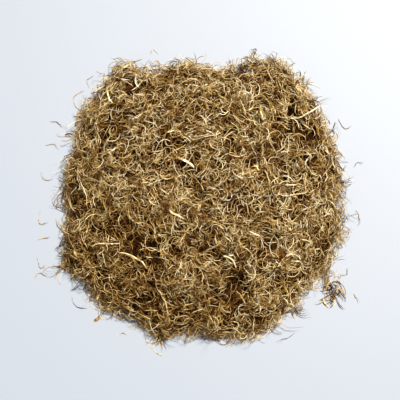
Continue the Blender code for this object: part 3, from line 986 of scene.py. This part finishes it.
class Spine:
    """The middle line of a loose shred of the CAD, with its half width and half thickness."""

    def __init__(self, node: bpy.types.Object) -> None:
        """Reads the shred ring by ring.

        Args:
            node: the CAD node, a four-sided strip closed at both ends.
        """
        shape = bmesh.new()
        shape.from_mesh(node.data)
        bmesh.ops.remove_doubles(shape, verts=shape.verts[:], dist=0.002 * MM)
        rings = [np.array([v.co for v in ring]) for ring in self.rings(shape)]
        shape.free()
        self.points = np.array([ring.mean(axis=0) for ring in rings])
        along = unit(np.gradient(self.points, axis=0))
        side = unit(np.cross([0.0, 0.0, 1.0], along))
        up = np.cross(along, side)
        self.half_width = np.array([np.ptp(r @ s) / 2 for r, s in zip(rings, side)])
        self.half_thickness = np.array([np.ptp(r @ u) / 2 for r, u in zip(rings, up)])

    def rings(self, shape: bmesh.types.BMesh) -> list[set]:
        """Finds the flat cap at an end, and from there every ring of four corners in turn."""
        for edge in shape.edges:
            if edge.calc_face_angle(9.0) > 0.02:
                continue
            found = [{corner for face in edge.link_faces for corner in face.verts}]
            seen = set(found[0])
            while found[-1]:
                near = {e.other_vert(v) for v in found[-1] for e in v.link_edges}
                found.append(near - seen)
                seen |= near
            if all(len(ring) == 4 for ring in found[:-1]):
                return found[:-1]
        raise ValueError("the shred has no end cap")

    def refined(self, values: np.ndarray) -> np.ndarray:
        """Adds a value half way between each two, on a smooth curve through them."""
        first, last = 2 * values[:1] - values[1:2], 2 * values[-1:] - values[-2:-1]
        wide = np.concatenate([first, values, last])
        between = (9 * (wide[1:-2] + wide[2:-1]) - wide[:-3] - wide[3:]) / 16
        found = np.empty((2 * len(values) - 1, *values.shape[1:]))
        found[::2], found[1::2] = values, between
        return found


@dataclass
class LooseShreds:
    """The splinters, shreds, threads and bark chip, torn and frayed, on the CAD's own lines."""

    dice: np.random.Generator
    kinds: dict[str, LooseKind] = field(
        default_factory=lambda: {
            "pale_splinter": LooseKind(
                "pale_core", DriedStemFinish("dried_stem_core"), (0.55, 0.78), 0.4, 4, (0.2, 1.0), 0.8, 0.08
            ),
            "long_shred": LooseKind(
                "tan_fibre", DriedStemFinish("dried_stem_shred"), (0.3, 0.62), 0.5, 4, (0.4, 2.2), 0.6, 0.12
            ),
            "stray_thread": LooseKind(
                "brown_fibre", DriedStemFinish("dried_stem_thread"), (0.2, 0.55), 0.5, 1, (0.4, 1.6), 0.6, 0.14
            ),
            "bark_chip": LooseKind(
                "stem_bark", DriedStemFinish("dried_stem_skin", skin_brown="#7C3A1C"), (0.25, 0.35), 2.0, 2, (0.1, 0.5), 1.0, 0.05
            ),
        }
    )

    def nodes(self, family: str = "") -> list[bpy.types.Object]:
        """The CAD nodes of every loose piece, or of one family."""
        solids = ("heap", "side_tuft")
        return [o for n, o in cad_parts.items() if n not in solids and n.startswith(family)]

    def places(self) -> KDTree:
        """Every corner of the loose pieces, for the heap's shreds to stay clear of."""
        corners = [v.co for o in self.nodes() for v in o.data.vertices]
        tree = KDTree(len(corners))
        for i, corner in enumerate(corners):
            tree.insert(corner, i)
        tree.balance()
        return tree

    def build(self) -> None:
        """Builds one piece for each family, in place of its nodes."""
        for family, kind in self.kinds.items():
            nodes = self.nodes(family)
            body = self.body(kind, [Spine(node) for node in nodes])
            strands = body
            for _ in range(kind.fibres):
                strands = strands.joined(self.frayed(kind, body))
            piece = StrandMesh(Section.LOOSE, 0.4, 0.3).build(family + "s", strands, self.dice)
            place(piece, kind.finish.make(), kind.slot, *(node.name for node in nodes))

    def body(self, kind: LooseKind, spines: list[Spine]) -> Strands:
        """The shreds themselves, with ragged edges.

        Args:
            kind: the family.
            spines: their middle lines.

        Returns:
            One strand for each.
        """
        dice = self.dice
        points = np.array([spine.refined(spine.points) for spine in spines])
        widths = np.array([spine.refined(spine.half_width) for spine in spines])
        thick = np.array([spine.refined(spine.half_thickness) for spine in spines])
        count, rings = widths.shape
        facing = np.broadcast_to(np.array([0.0, 0.0, 1.0]), points.shape).copy()
        ragged = dice.uniform(0.6, 1.0, (count, rings)) * kind.slimness
        thin = np.linspace(-1, 1, rings) ** 8
        half_width = widths * ragged * (1 - 0.6 * thin)
        side = unit(np.cross(facing, np.gradient(points, axis=1)))
        points = points + side * dice.normal(0, kind.kink, (count, rings, 1)) * MM
        tone = dice.uniform(*kind.tone, (count, 1)) + dice.normal(0, 0.11, (count, rings))
        return Strands(
            within_box(points, half_width),
            facing,
            half_width,
            np.minimum(thick * (1 - 0.5 * thin), half_width),
            np.clip(tone, 0.05, 1.0),
            dice.uniform(0, 0.35, count),
            dice.uniform(0, 1, count) * kind.skin,
        )

    def frayed(self, kind: LooseKind, body: Strands) -> Strands:
        """Fibres that run along the shreds and part from them towards one end.

        Args:
            kind: the family.
            body: the shreds.

        Returns:
            One fibre for each shred.
        """
        dice = self.dice
        count, rings = body.half_width.shape
        fibre = body.chosen(np.arange(count))
        share = np.linspace(0, 1, rings)[None] * np.ones((count, 1))
        flip = dice.random(count) < 0.5
        share[flip] = 1 - share[flip]
        away = np.clip((share - dice.uniform(0.2, 0.7, (count, 1))) / 0.5, 0, 1) ** 1.7
        side = unit(np.cross(fibre.facing, np.gradient(fibre.points, axis=1)))
        lane = dice.uniform(-0.9, 0.9, (count, 1)) * fibre.half_width
        reach = dice.choice([-1.0, 1.0], (count, 1)) * dice.uniform(*kind.parting, (count, 1)) * MM
        rise = 0.5 * fibre.half_thickness + away * dice.uniform(0.0, 1.2, (count, 1)) * MM
        fibre.points = fibre.points + side * (lane + reach * away)[..., None]
        fibre.points = fibre.points + fibre.facing * rise[..., None]
        slender = dice.uniform(0.22, 0.45, (count, 1)) * (1 - 0.6 * away)
        fibre.half_width = fibre.half_width * slender
        fibre.points = within_box(fibre.points, fibre.half_width)
        fibre.half_thickness = np.minimum(fibre.half_width, fibre.half_thickness)
        fibre.tone = np.clip(fibre.tone + dice.normal(0, 0.12, (count, 1)), 0.1, 1.0)
        return fibre


@dataclass
class Studio:
    """A pale floor, one soft key light from behind and to the right, fill, and the camera."""

    aim: tuple[float, float, float] = (0.4 * MM, -0.7 * MM, 20.0 * MM)
    elevation: float = 86.0
    lens: float = 110.0
    field: float = 276.0 * MM

    def build(self) -> None:
        """Builds the floor, the lights and the camera."""
        self.floor()
        self.lights()
        self.camera()

    def floor(self) -> None:
        """A plain pale floor, white melamine with a soft sheen."""
        bpy.ops.mesh.primitive_plane_add(size=30.0, location=(0, 0, 0))
        plane = bpy.context.object
        plane.name = "floor"
        material = bpy.data.materials.new("pale_floor")
        material.use_nodes = True
        shader = material.node_tree.nodes["Principled BSDF"]
        shader.inputs["Base Color"].default_value = linear("#858C97")
        shader.inputs["Roughness"].default_value = 0.5
        plane.data.materials.append(material)

    def lights(self) -> None:
        """The key light, a weak fill from the left front, and the light of the room."""
        self.sun((0.37, 0.44, 1.55), 7.0, 6.7, "#FFFAF2")
        self.area("fill", (-0.75, -0.65, 0.75), 0.9, 2.4, "#FFFAF0")
        world = bpy.data.worlds.new("room")
        bpy.context.scene.world = world
        world.use_nodes = True
        tree = world.node_tree
        dim = tree.nodes["Background"]
        dim.inputs["Color"].default_value = linear("#FBFAF6")
        dim.inputs["Strength"].default_value = 0.18
        pale = add_node(tree, "ShaderNodeBackground", {"Color": linear("#C4C8CE")}, {})
        ray = add_node(tree, "ShaderNodeLightPath", {}, {})
        seen = add_node(
            tree,
            "ShaderNodeMixShader",
            {},
            {0: ray.outputs["Is Camera Ray"], 1: dim.outputs[0], 2: pale.outputs[0]},
        )
        tree.links.new(seen.outputs[0], tree.nodes["World Output"].inputs["Surface"])
        bpy.context.scene.view_settings.view_transform = "Standard"
        bpy.context.scene.view_settings.look = "Medium High Contrast"

    def sun(
        self, towards: tuple[float, float, float], width: float, strength: float, colour: str
    ) -> None:
        """Adds the key: one soft, distant light that falls evenly on the heap and the floor.

        Args:
            towards: the way to it from the heap.
            width: how wide it looks from there, in degrees.
            strength: its strength in watts on a square metre.
            colour: its colour in hex.
        """
        lamp = bpy.data.lights.new("key", "SUN")
        lamp.angle = math.radians(width)
        lamp.energy = strength
        lamp.color = linear(colour)[:3]
        obj = bpy.data.objects.new("key", lamp)
        obj.rotation_euler = (-Vector(towards)).to_track_quat("-Z", "Y").to_euler()
        bpy.context.scene.collection.objects.link(obj)

    def area(
        self, name: str, place_at: tuple[float, float, float], size: float, power: float, colour: str
    ) -> None:
        """Adds one square area light that faces the heap.

        Args:
            name: the light's name.
            place_at: where it stands.
            size: its side.
            power: its power in watts.
            colour: its colour in hex.
        """
        lamp = bpy.data.lights.new(name, "AREA")
        lamp.size = size
        lamp.energy = power
        lamp.color = linear(colour)[:3]
        obj = bpy.data.objects.new(name, lamp)
        obj.location = place_at
        obj.rotation_euler = (-Vector(place_at)).to_track_quat("-Z", "Y").to_euler()
        bpy.context.scene.collection.objects.link(obj)

    def camera(self) -> None:
        """The camera, looking almost straight down with the frame's field at the floor."""
        lens = bpy.data.cameras.new("camera")
        lens.lens = self.lens
        lens.sensor_width = 36.0
        away = self.field * self.lens / 36.0
        tilt = math.radians(self.elevation)
        back = Vector((0.0, -math.cos(tilt), math.sin(tilt)))
        obj = bpy.data.objects.new("camera", lens)
        obj.location = Vector(self.aim) + back * (away - self.aim[2])
        obj.rotation_euler = (-back).to_track_quat("-Z", "Y").to_euler()
        bpy.context.scene.collection.objects.link(obj)
        bpy.context.scene.camera = obj


def write_sizes() -> None:
    """Updates the scene's view layer."""
    bpy.context.view_layer.update()


def main() -> None:
    """Builds the heap, the tuft, the loose pieces and the studio."""
    logging.basicConfig(level=logging.INFO, format="%(message)s")
    dice = np.random.default_rng(SEED)
    finish = DriedStemFinish("dried_shiitake_stem").make()
    loose = LooseShreds(dice)
    # The heap's inside gets a dark brown finish that is painted shade.
    Heap(dice, finish, PaintedShadeInsideFinish().make(), loose.places()).build()
    SideTuft(dice, finish).build()
    loose.build()
    Studio().build()
    write_sizes()


if __name__ == "__main__":
    main()
